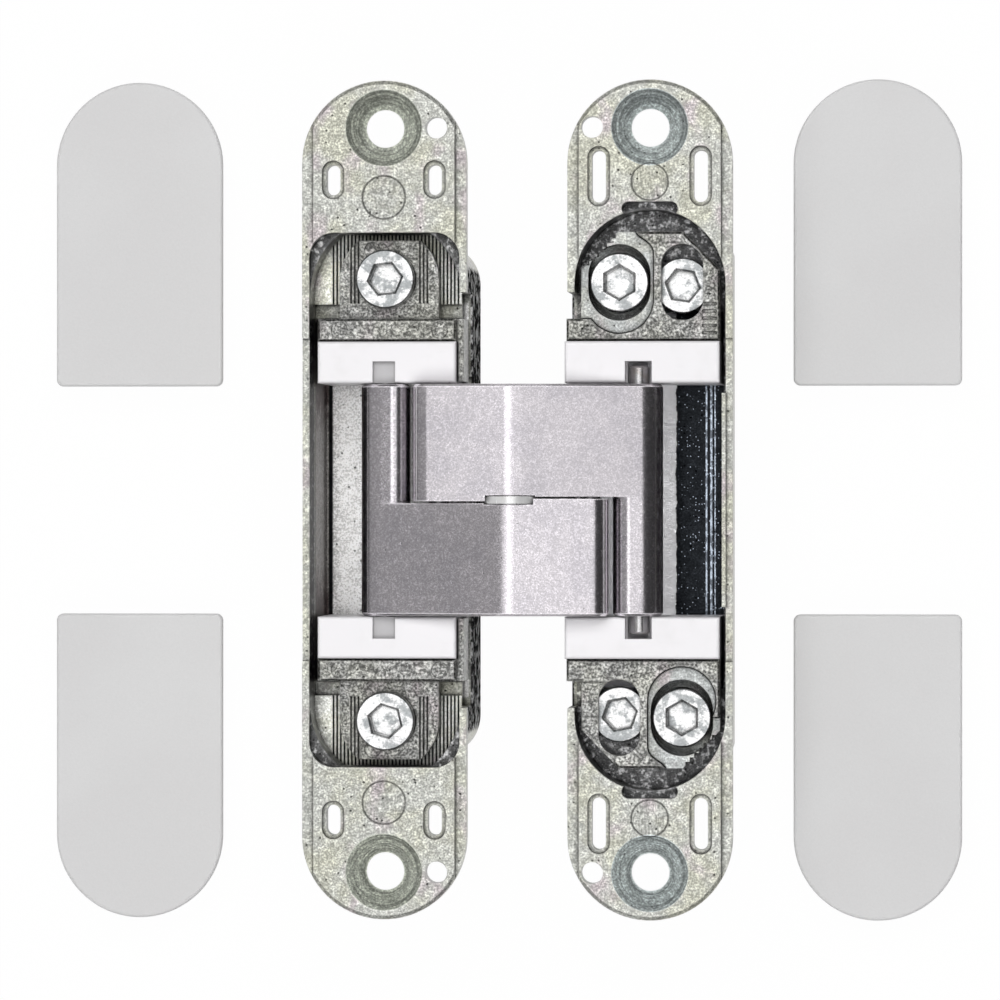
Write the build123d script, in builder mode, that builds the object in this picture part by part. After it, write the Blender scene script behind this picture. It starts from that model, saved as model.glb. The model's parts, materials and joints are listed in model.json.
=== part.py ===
from build123d import *
import os
from math import asin, atan2, cos, degrees, hypot, radians, sin, tan

# Concealed door hinge, lying on its back with the door fully open.
# Millimetres. +X runs from the door leaf to the frame leaf, +Y along the leaves, +Z out of their faces.
# Heights are measured from the faces. The finished pieces are then raised by the thickness of the
# face plates, so that the origin is on the seat of the frame leaf's plate, midway between its two screws.

# Leaves: the face plates with the deep boxes that are let into door edge and frame
leaf_width = 23.5
leaf_length = 119.5
leaf_gap = 14.4
plate_thickness = 3.2
edge_bevel = 0.6
strip_width = 1.65
strip_drop = 0.7
housing_depth = 27.5
box_wall = 1.0
floor_thickness = 2.0
core_wall = 2.0
outer_taper = 0.65
boss_wall = 1.5
frame_box_length = 87.0
door_box_length = 82.4
door_deep_box = 75.0
door_deep_corner = 6.0
shelf_box = 11.5
screw_inset = 6.75
screw_hole = 5.4
countersink = 11.0

# Working room cut in the walls that face each other
rim_half_length = 29.6
rim_level = -12.2
window_level = -13.4
outer_step_half_length = 23.0
outer_step_depth = 0.6
well_lip = 0.55
lip_half_length = 15.2
lip_level = -0.9

# Small features of the plates
pin_hole = 3.1
clip_slot_width = 3.2
door_clip_slot = 5.5
frame_clip_slot = 8.6
clip_slot_rim = 0.6
clip_slot_spread = 7.25
door_clip_slot_gap = 4.4
frame_clip_slot_gap = 2.5
mark_depth = 0.12
frame_mark_y = 45.2
frame_mark = 5.2
door_mark_y = 43.1
door_mark = 6.1
frame_pin_hole_x = 8.2
door_pin_hole_x = 7.5
index_slot = 8.0
index_slot_width = 2.0

# Mechanism, measured from the mirror plane of the two arms
frame_offset = 19.8
slide_reach = 18.15
slide_drop = 3.3
closed_gap = 4.0
cross_ratio = -0.1

# Arms
arm_height = 33.0
arm_gap = 0.3
split_offset = 0.32
boss_radius = 3.3
crown_radius = 10.0
crown_half = 1.8
barrel_radius = 3.4
knuckle_radius = 2.75
wing_gap = 0.8
wing_corner = 2.3
wing_tilt = 4.0
barrel_shoulder = 2.4
barrel_shoulder_reach = 16.85
arm_edge = 0.35
pin_diameter = 3.0
pin_edge = 0.3
centre_pin_diameter = 4.0
washer_diameter = 8.2
washer_room = 1.3
washer_recess = 9.2
slide_pin_reach = 2.6

# Clearances
side_clearance = 0.15
running_fit = 0.04
seat_fit = 0.02
groove_clearance = 0.12
washer_clearance = 0.12
slide_clearance = 0.3

# Adjusting travel, each way
height_travel = 1.0
lateral_travel = 1.0
depth_travel = 1.0

# Nylon guides
guide_front = -0.6
guide_length = 5.95
guide_wall = 2.6
groove_depth = 3.1
door_recess_depth = 0.7
door_recess_width = 3.2
frame_notch_width = 3.8
frame_guide_inset = -0.4
frame_bar_inset = -0.25
door_guide_inset = 1.5
frame_guide_play = 0.85
door_guide_play = 1.2
spigot_diameter = 4.0
spigot_length = 1.4
guide_edge = 0.5

# Carriages
bar_thickness = 3.25
bar_edge = 0.4
shelf_level = -9.0
carriage_top = -2.4
carriage_bottom = -7.6
carriage_end = 38.2
pocket_end_gap = 2.2
carriage_flat = 9.2
carriage_shoulder = 32.8
clamp_offset = 4.45
clamp_y = 31.0
adjuster_offset = 4.5
adjuster_y = 30.6
adjuster_slot_y = 31.0
plate_recess_floor = -6.2
clamp_plate_top = -2.9
clamp_plate_radius = 4.8
clamp_plate_arc_y = 28.6
clamp_plate_neck = 35.0
clamp_plate_tip = 2.3
plate_fit = 0.15
tooth_pitch = 0.9
tooth_size = 0.55
tick_pitch = 1.03
tick_depth = 0.2
tick_length = 2.2
tick_width = 0.5
tick_count = 5
upper_ear = 25.9
lower_ear = 31.0
adjuster_slot = 6.0
relief_start = 0.5
relief_depth = 1.2

# Door carriage tongue on its ribbed shelf
door_bar_front = -0.9
tongue_width = 14.2
tongue_shift = 0.4
tongue_end = 37.1
tongue_top = -4.3
tongue_thickness = 2.9
tongue_room = 1.2
tongue_end_room = 0.6
door_pocket_end = 38.1
door_pocket_corner = 3.6
corner_ledge = -2.4
rib_pitch = 0.53
rib_depth = 0.6
rib_start = 28.1
rib_band = 19.0
rib_band_shift = 1.0
pad_width = 8.3
groove_count = 3
tongue_groove = 0.4
door_clamp_y = 31.55
ejector_mark = 2.4
ejector_depth = 0.12
bar_mark_outer = -6.45
bar_mark_inner = 7.9
pad_mark_x = -2.0
pad_mark_y = 35.7
web_thickness = 0.75
web_level = -2.2
web_gap = 0.25

# Socket head screws
head_diameter = 8.3
adjuster_head = 7.9
head_height = 2.4
head_bevel = 0.15
socket_size = 4.0
socket_depth = 1.9
socket_bevel = 0.3
shank_diameter = 6.0
shank_end = -21.5
adjuster_drop = 2.2
head_proud = 0.3
seat_gap = 0.12
clamp_screw_turn = 30
upper_adjuster_turn = 51
lower_adjuster_turn = 11
upper_door_screw_turn = 7
lower_door_screw_turn = 43

# Cover caps
cover_width = 24.4
cover_length = 44.4
cover_thickness = 1.2
cover_edge = 0.45
cover_leg = 5.0
cover_leg_width = 1.5
cover_leg_length = 3.6
frame_cover_gap = 8.1
door_cover_gap = 13.85
cover_corner = 1.0
cover_peg = 1.3
cover_peg_spread = 8.6
cover_peg_y = 36.1
cover_gap_y = 33.2

# Places that follow from the driving sizes
half_width = leaf_width / 2
screw_spacing = leaf_length - 2 * screw_inset
frame_clip_slot_y = frame_box_length / 2 + frame_clip_slot_gap
door_clip_slot_y = door_box_length / 2 + door_clip_slot_gap
mirror_x = -frame_offset
door_x = -(leaf_width + leaf_gap)
pocket_half = half_width - box_wall
floor_level = -housing_depth + floor_thickness
arm_half = arm_height / 2
pin_radius = pin_diameter / 2
guide_start = arm_half + side_clearance
guide_end = guide_start + guide_length
bar_end = guide_end + bar_thickness
window_half = arm_half + height_travel + slide_clearance
frame_deep_half = bar_end + height_travel + slide_clearance
door_deep_half = bar_end + slide_clearance
groove_width = pin_diameter + 2 * groove_clearance

# Linkage: each arm turns by the same angle at its own pivot and a little less at the other leaf
pivot_turn = 180 / (2 + cross_ratio)
link_length = hypot(slide_reach, slide_drop)
link_tilt = degrees(atan2(slide_drop, slide_reach))
closed_tilt = link_tilt + 180 - pivot_turn
centre_closed = Vector(slide_reach - link_length * cos(radians(closed_tilt)), closed_gap / 2)
chord = centre_closed
bisector = Vector(chord.Y, -chord.X).normalized()
pivot = chord * 0.5 + bisector * (chord.length / 2 / tan(radians(pivot_turn / 2)))
centre_radius = pivot.length
centre_angle = degrees(atan2(-pivot.Y, -pivot.X))


def polar(length, angle):
    return Vector(length * cos(radians(angle)), length * sin(radians(angle)))


def slide_place(turn):
    centre = pivot + polar(centre_radius, centre_angle - turn)
    return centre + polar(link_length, -link_tilt - (1 + cross_ratio) * turn)


slide_open = slide_place(0)
slide_middle = slide_place(pivot_turn / 2)
slide_closed = slide_place(pivot_turn)
guide_bottom = slide_closed.Y - groove_width / 2 - guide_wall
wing_reach = slide_reach - barrel_radius - wing_gap
frame_well_half = pocket_half - well_lip


def section(x, y):
    # A plane across the leaves: its x is +X, its y is +Z, and it extrudes towards -Y
    return Plane(origin=(x, y, 0), x_dir=(1, 0, 0), z_dir=(0, -1, 0))


def level(z, x=0, turn=1):
    # A plane parallel to the faces, turned half round for the lower end when turn is -1
    return Plane(origin=(x, 0, z), x_dir=(turn, 0, 0), z_dir=(0, 0, 1))


def upper_y(end, near, far):
    # The larger Y of a piece that reaches from near to far at the upper (1) or lower (-1) end
    return max(end * near, end * far)


# Housings
def leaf_blank(x, inner, box_length, box_depth, slot_length, slot_y, mark, mark_y, pin_hole_x):
    with BuildPart() as blank:
        with BuildSketch(level(-plate_thickness, x)):
            SlotOverall(leaf_length, leaf_width, rotation=90)
        extrude(amount=plate_thickness)
        with BuildSketch(level(-box_depth, x)):
            SlotOverall(box_length, leaf_width, rotation=90)
        extrude(amount=box_depth - plate_thickness)
        chamfer(blank.faces().sort_by(Axis.Z)[-1].edges(), edge_bevel)
        with BuildSketch(level(0, x)):
            with Locations((half_width - strip_width / 2, 0), (strip_width / 2 - half_width, 0)):
                Rectangle(strip_width, leaf_length)
        extrude(amount=-strip_drop, mode=Mode.SUBTRACT)
        with Locations((x, screw_spacing / 2, 0), (x, -screw_spacing / 2, 0)):
            CounterSinkHole(screw_hole / 2, countersink / 2, counter_sink_angle=90)
        with BuildSketch(level(0, x)):
            with Locations((inner * pin_hole_x, screw_spacing / 2), (inner * pin_hole_x, -screw_spacing / 2)):
                Circle(pin_hole / 2)
            with GridLocations(2 * clip_slot_spread, 2 * slot_y, 2, 2):
                SlotOverall(slot_length - 2 * clip_slot_rim, clip_slot_width - 2 * clip_slot_rim, rotation=90)
        extrude(amount=-plate_thickness, mode=Mode.SUBTRACT)
        with BuildSketch(level(0, x)):
            with GridLocations(2 * clip_slot_spread, 2 * slot_y, 2, 2):
                SlotOverall(slot_length, clip_slot_width, rotation=90)
        extrude(amount=-clip_slot_rim, mode=Mode.SUBTRACT)
        with BuildSketch(level(0, x)):
            with GridLocations(0, 2 * mark_y, 1, 2):
                Circle(mark / 2)
        extrude(amount=-mark_depth, mode=Mode.SUBTRACT)
        with BuildSketch(level(-strip_drop, x)):
            with Locations((-inner * (half_width - box_wall / 2), 0)):
                Rectangle(box_wall, 2 * outer_step_half_length)
        extrude(amount=-outer_step_depth, mode=Mode.SUBTRACT)
    return blank.part


def deep_pocket(x, well_half, deep_half, inner):
    # The deep well between the shelves, and the room for the arms in the wall beside the other leaf
    with BuildSketch(level(0, x)) as well:
        RectangleRounded(2 * well_half, 2 * deep_half, box_wall / 2)
    extrude(well.sketch, amount=floor_level, mode=Mode.SUBTRACT)
    for half_length, depth in ((rim_half_length, rim_level), (window_half, window_level)):
        with BuildSketch(level(0, x)) as gap:
            with Locations((inner * half_width, 0)):
                Rectangle(2 * (half_width - well_half + slide_clearance), 2 * half_length)
        extrude(gap.sketch, amount=depth, mode=Mode.SUBTRACT)


def back_cores(x, box_length, corner, deep_half, screw_places):
    # Pockets in the back that keep the casting's walls even, round the bosses of the screws
    with BuildSketch(level(-housing_depth, x)) as cores:
        RectangleRounded(leaf_width - 2 * core_wall, box_length - 2 * core_wall, corner - core_wall)
        Rectangle(leaf_width, 2 * (deep_half + core_wall), mode=Mode.SUBTRACT)
        with Locations(*screw_places):
            Circle(shank_diameter / 2 + boss_wall, mode=Mode.SUBTRACT)
    extrude(cores.sketch, amount=housing_depth + shelf_level - floor_thickness, mode=Mode.SUBTRACT)
    with BuildSketch(level(0, x)) as bores:
        with Locations(*screw_places):
            Circle(shank_diameter / 2 + running_fit)
    extrude(bores.sketch, amount=shank_end - lateral_travel - slide_clearance, mode=Mode.SUBTRACT)


frame_screw_places = []
for end in (1, -1):
    frame_screw_places.append((-end * clamp_offset, end * clamp_y))
    frame_screw_places.append((end * adjuster_offset, end * adjuster_y))
door_screw_places = [(0, door_clamp_y), (0, -door_clamp_y)]

frame_pocket_centre = carriage_end + height_travel + pocket_end_gap - pocket_half

with BuildPart() as frame_housing:
    add(
        leaf_blank(
            0,
            -1,
            frame_box_length,
            housing_depth,
            frame_clip_slot,
            frame_clip_slot_y,
            frame_mark,
            frame_mark_y,
            frame_pin_hole_x,
        )
    )
    # Pocket with round ends for the carriages, and the deep well between them
    with BuildSketch(level(0)):
        SlotCenterToCenter(2 * frame_pocket_centre, 2 * pocket_half, rotation=90)
    extrude(amount=shelf_level, mode=Mode.SUBTRACT)
    deep_pocket(0, frame_well_half, frame_deep_half, -1)
    # Lip of the well's outer wall between the guides
    with BuildSketch(level(lip_level)):
        with Locations((pocket_half - well_lip / 2, 0)):
            Rectangle(well_lip, 2 * lip_half_length)
    extrude(amount=shelf_level - lip_level)
    # The outer side of the box leans in towards the back
    with BuildSketch(section(0, frame_box_length / 2)):
        with BuildLine():
            Polyline(
                (half_width, -plate_thickness),
                (half_width, -housing_depth),
                (half_width - outer_taper, -housing_depth),
                close=True,
            )
        make_face()
    extrude(amount=frame_box_length, mode=Mode.SUBTRACT)
    # Slot for a turning tool at each end of the pocket
    with BuildSketch(level(0)):
        with GridLocations(0, 2 * (frame_pocket_centre + pocket_half), 1, 2):
            SlotOverall(index_slot, index_slot_width)
    extrude(amount=-plate_thickness, mode=Mode.SUBTRACT)
    back_cores(0, frame_box_length, half_width - seat_fit, frame_deep_half, frame_screw_places)

with BuildPart() as door_housing:
    add(
        leaf_blank(
            door_x,
            1,
            door_box_length,
            shelf_box,
            door_clip_slot,
            door_clip_slot_y,
            door_mark,
            door_mark_y,
            door_pin_hole_x,
        )
    )
    # Deep box below the round-ended one that holds the shelves
    with BuildSketch(level(-housing_depth, door_x)):
        RectangleRounded(leaf_width, door_deep_box, door_deep_corner)
    extrude(amount=housing_depth - plate_thickness)
    # Square-ended pocket, its corners kept shallow, with a shelf that steps down to the deep well
    with BuildSketch(level(0, door_x)):
        RectangleRounded(2 * pocket_half, 2 * door_pocket_end, door_pocket_corner)
    extrude(amount=corner_ledge, mode=Mode.SUBTRACT)
    with BuildSketch(level(0, door_x)):
        RectangleRounded(2 * pocket_half, 2 * door_pocket_end, door_pocket_corner)
        SlotOverall(door_box_length - 2 * box_wall, 2 * pocket_half, rotation=90, mode=Mode.INTERSECT)
    extrude(amount=shelf_level + rib_depth, mode=Mode.SUBTRACT)
    with BuildSketch(level(0, door_x)):
        Rectangle(2 * pocket_half, 2 * rib_start)
    extrude(amount=shelf_level - rib_depth, mode=Mode.SUBTRACT)
    deep_pocket(door_x, pocket_half, door_deep_half, 1)
    # Grooves that leave the ribs of the shelf
    rib_run = door_pocket_end - rib_start
    with BuildSketch(level(shelf_level + rib_depth, door_x)):
        for end in (1, -1):
            with Locations((rib_band_shift, end * (rib_start + rib_run / 2))):
                with GridLocations(rib_pitch, 0, int(rib_band / rib_pitch), 1):
                    Rectangle(rib_pitch / 2, rib_run)
        RectangleRounded(2 * pocket_half, 2 * door_pocket_end, door_pocket_corner, mode=Mode.INTERSECT)
        SlotOverall(door_box_length - 2 * box_wall, 2 * pocket_half, rotation=90, mode=Mode.INTERSECT)
    extrude(amount=-rib_depth, mode=Mode.SUBTRACT)
    back_cores(door_x, door_deep_box, door_deep_corner, door_deep_half, door_screw_places)


# Screws
def socket_screw(x, y, top, head, turn):
    with BuildPart() as screw:
        with BuildSketch(section(x, y)):
            with BuildLine():
                Polyline(
                    (0, top),
                    (head / 2 - head_bevel, top),
                    (head / 2, top - head_bevel),
                    (head / 2, top - head_height),
                    (shank_diameter / 2, top - head_height),
                    (shank_diameter / 2, shank_end),
                    (0, shank_end),
                    close=True,
                )
            make_face()
        revolve(axis=Axis((x, y, 0), (0, 0, 1)))
        with BuildSketch(Plane(origin=(x, y, top), x_dir=(1, 0, 0), z_dir=(0, 0, 1))):
            RegularPolygon(socket_size / 2, 6, major_radius=False, rotation=turn)
        extrude(amount=-socket_depth, mode=Mode.SUBTRACT)
        chamfer(screw.faces().sort_by(Axis.Z)[-1].inner_wires()[0].edges(), socket_bevel)
    return screw.part


def block_points(side, leaf_x, inset, play, front):
    # Outline across a guide or its bar: flush with the leaf in front, narrower below the low wall
    leaf_u = abs(leaf_x - mirror_x)
    inner = side * (leaf_u - half_width + inset)
    stepped = side * (leaf_u - pocket_half + play)
    outer = side * (leaf_u + pocket_half - play)
    step = rim_level + lateral_travel + slide_clearance
    return [
        (inner, front),
        (outer, front),
        (outer, guide_bottom),
        (stepped, guide_bottom),
        (stepped, step),
        (inner, step),
    ]


# Nylon guides with the curved grooves that lead the slide pins
def nylon_guide(side, end, outline):
    start_y = upper_y(end, guide_start, guide_end)
    groove_y = upper_y(end, guide_start, guide_start + groove_depth)
    with BuildPart() as guide:
        with BuildSketch(section(mirror_x, start_y)):
            with BuildLine():
                Polyline(*outline, close=True)
            make_face()
        extrude(amount=guide_length)
        fillet(guide.faces().sort_by(Axis.Z)[-1].edges(), guide_edge)
        with BuildSketch(section(mirror_x, groove_y)):
            with BuildLine(mode=Mode.PRIVATE):
                path = ThreePointArc(
                    (side * slide_open.X, slide_open.Y),
                    (side * slide_middle.X, slide_middle.Y),
                    (side * slide_closed.X, slide_closed.Y),
                )
            SlotArc(path, groove_width)
            if side > 0:
                with Locations((side * slide_open.X, (slide_open.Y + guide_front) / 2)):
                    Rectangle(frame_notch_width, guide_front - slide_open.Y)
        extrude(amount=groove_depth, mode=Mode.SUBTRACT)
        if side < 0:
            with BuildSketch(level(guide_front, mirror_x)):
                with Locations((side * slide_open.X, end * (guide_start + groove_depth / 2))):
                    Rectangle(door_recess_width, groove_depth)
            extrude(amount=-door_recess_depth, mode=Mode.SUBTRACT)
        with BuildSketch(section(mirror_x, start_y)):
            with Locations((side * pivot.X, pivot.Y)):
                Circle(pin_radius + seat_fit)
        extrude(amount=guide_length, mode=Mode.SUBTRACT)
        with BuildSketch(section(mirror_x, upper_y(end, guide_end, guide_end + spigot_length))):
            with Locations((side * slide_reach, slide_closed.Y)):
                Circle(spigot_diameter / 2)
        extrude(amount=spigot_length)
    return guide.part


def bar_bores(side, end):
    # Blind bores in a bar for the end of the pivot pin and the spigot of the guide
    with BuildSketch(section(mirror_x, upper_y(end, guide_end, guide_end + bore_depth))) as bores:
        with Locations((side * pivot.X, pivot.Y)):
            Circle(pin_radius + seat_fit)
        with Locations((side * slide_reach, slide_closed.Y)):
            Circle(spigot_diameter / 2 + seat_fit)
    extrude(bores.sketch, amount=bore_depth, mode=Mode.SUBTRACT)


# Frame carriages and the clamp plates let into them
clamp_hole = head_diameter + 2 * slide_clearance
shank_hole = shank_diameter + 2 * slide_clearance
bore_depth = bar_thickness - bar_edge
wing_half = pocket_half - frame_guide_play
head_seat = clamp_plate_top - head_height + head_proud


def clamp_plate_outline(end, z, clearance):
    # Teardrop round the clamp screw: a round foot, a straight flank, an ogee to the flat end
    ear = (upper_ear if end > 0 else lower_ear) - clearance
    outer = wing_half + clearance
    radius = clamp_plate_radius + clearance
    far = carriage_end + clearance
    start = asin((clamp_plate_arc_y - ear) / radius)
    flank = radius - clamp_offset
    tip = clearance - clamp_plate_tip
    with BuildSketch(level(z, 0, end)) as outline:
        with BuildLine():
            Line((-outer, ear), (-clamp_offset - radius * cos(start), ear))
            CenterArc((-clamp_offset, clamp_plate_arc_y), radius, 180 + degrees(start), 180 - degrees(start))
            Line((flank, clamp_plate_arc_y), (flank, clamp_plate_neck))
            Spline((flank, clamp_plate_neck), (tip, far), tangents=((0, 1), (-1, 2)))
            Line((tip, far), (-carriage_flat / 2, far))
            Line((-carriage_flat / 2, far), (-outer, carriage_shoulder))
            Line((-outer, carriage_shoulder), (-outer, ear))
        make_face()
    return outline.sketch


def frame_clamp_plate(end):
    with BuildPart() as plate:
        extrude(clamp_plate_outline(end, plate_recess_floor, 0), amount=clamp_plate_top - plate_recess_floor)
        with BuildSketch(level(clamp_plate_top, 0, end)):
            with Locations((-clamp_offset, clamp_y)):
                SlotOverall(clamp_hole + 2 * height_travel, clamp_hole, rotation=90)
        extrude(amount=head_seat - seat_gap - clamp_plate_top, mode=Mode.SUBTRACT)
        with BuildSketch(level(clamp_plate_top, 0, end)):
            with Locations((-clamp_offset, clamp_y)):
                SlotOverall(shank_hole + 2 * height_travel, shank_hole, rotation=90)
            # Teeth along the slanted edge
            edge_start = Vector(-carriage_flat / 2, carriage_end)
            edge_run = Vector(-wing_half, carriage_shoulder) - edge_start
            for tooth in range(1, int(edge_run.length / tooth_pitch)):
                with Locations(edge_start + edge_run.normalized() * (tooth * tooth_pitch)):
                    Rectangle(tooth_size, tooth_size)
        extrude(amount=plate_recess_floor - clamp_plate_top, mode=Mode.SUBTRACT)
    return plate.part


def frame_carriage(end):
    with BuildPart() as carriage:
        # Wing that lies over the shelf
        with BuildSketch(level(carriage_bottom, 0, end)):
            with BuildLine():
                Polyline(
                    (-wing_half, guide_end),
                    (wing_half, guide_end),
                    (wing_half, carriage_shoulder),
                    (carriage_flat / 2, carriage_end),
                    (-carriage_flat / 2, carriage_end),
                    (-wing_half, carriage_shoulder),
                    close=True,
                )
            make_face()
        extrude(amount=carriage_top - carriage_bottom)
        # Bar that backs the guide
        with BuildSketch(section(mirror_x, upper_y(end, guide_end, bar_end))):
            with BuildLine():
                Polyline(*block_points(1, 0, frame_bar_inset, frame_guide_play, carriage_top), close=True)
            make_face()
        extrude(amount=bar_thickness)
        chamfer(carriage.faces().sort_by(Axis.Z)[-1].edges(), bar_edge)
        # Seat of the clamp plate
        seat = clamp_plate_outline(end, carriage_top, plate_fit)
        extrude(seat, amount=plate_recess_floor - carriage_top, mode=Mode.SUBTRACT)
        with BuildSketch(level(plate_recess_floor, 0, end)):
            with Locations((-clamp_offset, clamp_y)):
                SlotOverall(shank_hole + 2 * height_travel, shank_hole, rotation=90)
        extrude(amount=carriage_bottom - plate_recess_floor, mode=Mode.SUBTRACT)
        # Undercut slot that keeps the head of the adjusting screw
        with BuildSketch(level(carriage_bottom, 0, end)):
            with Locations((adjuster_offset, adjuster_y)):
                SlotOverall(clamp_hole + 2 * height_travel, clamp_hole, rotation=90)
        extrude(amount=carriage_top - adjuster_drop + seat_gap - carriage_bottom, mode=Mode.SUBTRACT)
        with BuildSketch(level(carriage_top, 0, end)):
            with Locations((adjuster_offset, adjuster_slot_y)):
                SlotOverall(clamp_hole + 2 * height_travel, adjuster_slot, rotation=90)
        extrude(amount=carriage_bottom - carriage_top, mode=Mode.SUBTRACT)
        if end > 0:
            # Height scale beside the pocket wall
            with BuildSketch(level(carriage_top)):
                with Locations((wing_half - tick_length / 2 - bar_edge, bar_end)):
                    with GridLocations(0, tick_pitch, 1, tick_count):
                        SlotOverall(tick_length, tick_width)
            extrude(amount=-tick_depth, mode=Mode.SUBTRACT)
        else:
            # Lower corner beside the adjusting screw
            with BuildSketch(level(carriage_top, 0, end)):
                with Locations((adjuster_offset + relief_start, bar_end)):
                    Rectangle(wing_half, carriage_end, align=(Align.MIN, Align.MIN))
            extrude(amount=-relief_depth, mode=Mode.SUBTRACT)
        bar_bores(1, end)
    return carriage.part


# Door carriages: a bar behind the guide and a tongue clamped on the ribbed shelf
def door_carriage(end):
    with BuildPart() as carriage:
        with BuildSketch(section(mirror_x, upper_y(end, guide_end, bar_end))):
            with BuildLine():
                outline = block_points(-1, door_x, door_guide_inset, door_guide_play, door_bar_front)
                Polyline(*outline, close=True)
            make_face()
        extrude(amount=bar_thickness)
        chamfer(carriage.faces().sort_by(Axis.Z)[-1].edges(), bar_edge)
        # Web round the inner end of the guide
        web_x = half_width - door_guide_inset + web_gap
        web_bottom = rim_level + lateral_travel + slide_clearance
        with BuildSketch(level(web_bottom, door_x)):
            with Locations((web_x + web_thickness / 2, end * (guide_start + web_gap + bar_end) / 2)):
                Rectangle(web_thickness, bar_end - guide_start - web_gap)
            with Locations((web_x, end * (guide_end + bar_end) / 2)):
                Rectangle(2 * web_thickness, bar_thickness)
        extrude(amount=web_level - web_bottom)
        # Marks of the ejector pins on the bar
        with BuildSketch(level(door_bar_front, door_x)):
            with Locations((bar_mark_outer, end * (guide_end + bar_end) / 2)):
                Circle(ejector_mark / 2)
            with Locations((bar_mark_inner, end * (guide_end + bar_end) / 2)):
                Circle(ejector_mark / 2)
        extrude(amount=-ejector_depth, mode=Mode.SUBTRACT)
        with BuildSketch(level(tongue_top - tongue_thickness, door_x)):
            with Locations((tongue_shift, end * (guide_end + door_clamp_y) / 2)):
                Rectangle(tongue_width, door_clamp_y - guide_end)
            with Locations((tongue_shift, end * door_clamp_y)):
                Circle(tongue_width / 2)
            with Locations((tongue_shift, end * (tongue_end + tongue_width / 2))):
                Rectangle(tongue_width, tongue_width, mode=Mode.SUBTRACT)
            shelf_length = door_box_length - 2 * box_wall
            SlotOverall(
                shelf_length - 2 * tongue_end_room,
                2 * (pocket_half - tongue_room),
                rotation=90,
                mode=Mode.INTERSECT,
            )
        extrude(amount=tongue_thickness)
        with BuildSketch(level(tongue_top, door_x)):
            with Locations((pad_mark_x, end * pad_mark_y)):
                Circle(ejector_mark / 2)
        extrude(amount=-ejector_depth, mode=Mode.SUBTRACT)
        # Grooves on both sides of the flat pad
        with BuildSketch(level(tongue_top, door_x)):
            for groove in range(groove_count):
                for flank in (1, -1):
                    groove_x = tongue_shift + flank * (pad_width / 2 + (groove + 0.5) * rib_pitch)
                    with Locations((groove_x, end * (rib_start + tongue_width / 2))):
                        Rectangle(rib_pitch / 2, tongue_width)
        extrude(amount=-tongue_groove, mode=Mode.SUBTRACT)
        with BuildSketch(level(tongue_top, door_x)):
            with Locations((0, end * door_clamp_y)):
                SlotOverall(shank_hole + 2 * depth_travel, shank_hole)
        extrude(amount=-tongue_thickness, mode=Mode.SUBTRACT)
        bar_bores(-1, end)
    return carriage.part


# Arms: the same casting twice, the lower one turned half round
def front_centre(reach, radius, tilt):
    # Height of a round's centre that touches a front face falling from the boss by a tilt
    return (boss_radius - radius - reach * sin(radians(tilt))) / cos(radians(tilt))


def arm_boss():
    # Round boss of the centre pin with a low crown in front
    with BuildSketch() as boss:
        with Locations((0, boss_radius - crown_radius)):
            Circle(crown_radius)
        with Locations((0, boss_radius)):
            Rectangle(2 * crown_half, boss_radius, mode=Mode.INTERSECT)
        Circle(boss_radius)
    return boss.sketch


def hinge_arm(side, centre_fit):
    link_start = split_offset + arm_gap / 2
    wing_start = arm_gap / 2 - split_offset
    corner_x = wing_reach - wing_corner
    corner_z = front_centre(corner_x, wing_corner, wing_tilt)
    shoulder_z = front_centre(barrel_shoulder_reach, barrel_shoulder, link_tilt)
    with BuildPart() as arm:
        # Link from the centre pin to the slide pin
        with BuildSketch(section(mirror_x, upper_y(side, link_start, arm_half))):
            add(arm_boss())
            with Locations((side * slide_open.X, slide_open.Y)):
                Circle(barrel_radius)
            make_hull()
        extrude(amount=arm_half - link_start)
        # Wing from the centre pin down to the pivot knuckle
        with BuildSketch(section(mirror_x, upper_y(side, wing_start, arm_half))):
            add(arm_boss())
            with Locations((-side * pivot.X, pivot.Y)):
                Circle(knuckle_radius)
            with Locations((-side * corner_x, corner_z)):
                Circle(wing_corner)
            make_hull()
        extrude(amount=arm_half - wing_start)
        # Barrel over the whole height
        with BuildSketch(section(mirror_x, arm_half)):
            with Locations((side * slide_open.X, slide_open.Y)):
                Circle(barrel_radius)
            with Locations((side * barrel_shoulder_reach, shoulder_z)):
                Circle(barrel_shoulder)
            make_hull()
        extrude(amount=arm_height)
        # Room for the washer between the arms
        with BuildSketch(section(mirror_x, washer_room / 2)):
            Circle(washer_recess / 2)
        extrude(amount=washer_room, mode=Mode.SUBTRACT)
        ends = arm.faces().filter_by(Axis.Y).sort_by(Axis.Y)
        chamfer(ends[0].edges() + ends[-1].edges(), arm_edge)
        # Bores
        with BuildSketch(section(mirror_x, arm_half)):
            Circle(centre_pin_diameter / 2 + centre_fit)
            with Locations((side * slide_open.X, slide_open.Y)):
                Circle(pin_radius + seat_fit)
            with Locations((-side * pivot.X, pivot.Y)):
                Circle(pin_radius + running_fit)
        extrude(amount=arm_height, mode=Mode.SUBTRACT)
    return arm.part


def round_pin(place, diameter, half_length):
    with BuildPart() as pin:
        with BuildSketch(section(mirror_x, half_length)):
            with Locations(place):
                Circle(diameter / 2)
        extrude(amount=2 * half_length)
        chamfer(pin.edges().filter_by(GeomType.CIRCLE), pin_edge)
    return pin.part


with BuildPart() as centre_washer:
    washer_half = washer_room / 2 - washer_clearance
    with BuildSketch(section(mirror_x, washer_half)):
        Circle(washer_diameter / 2)
        Circle(centre_pin_diameter / 2 + seat_fit, mode=Mode.SUBTRACT)
    extrude(amount=2 * washer_half)


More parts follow.
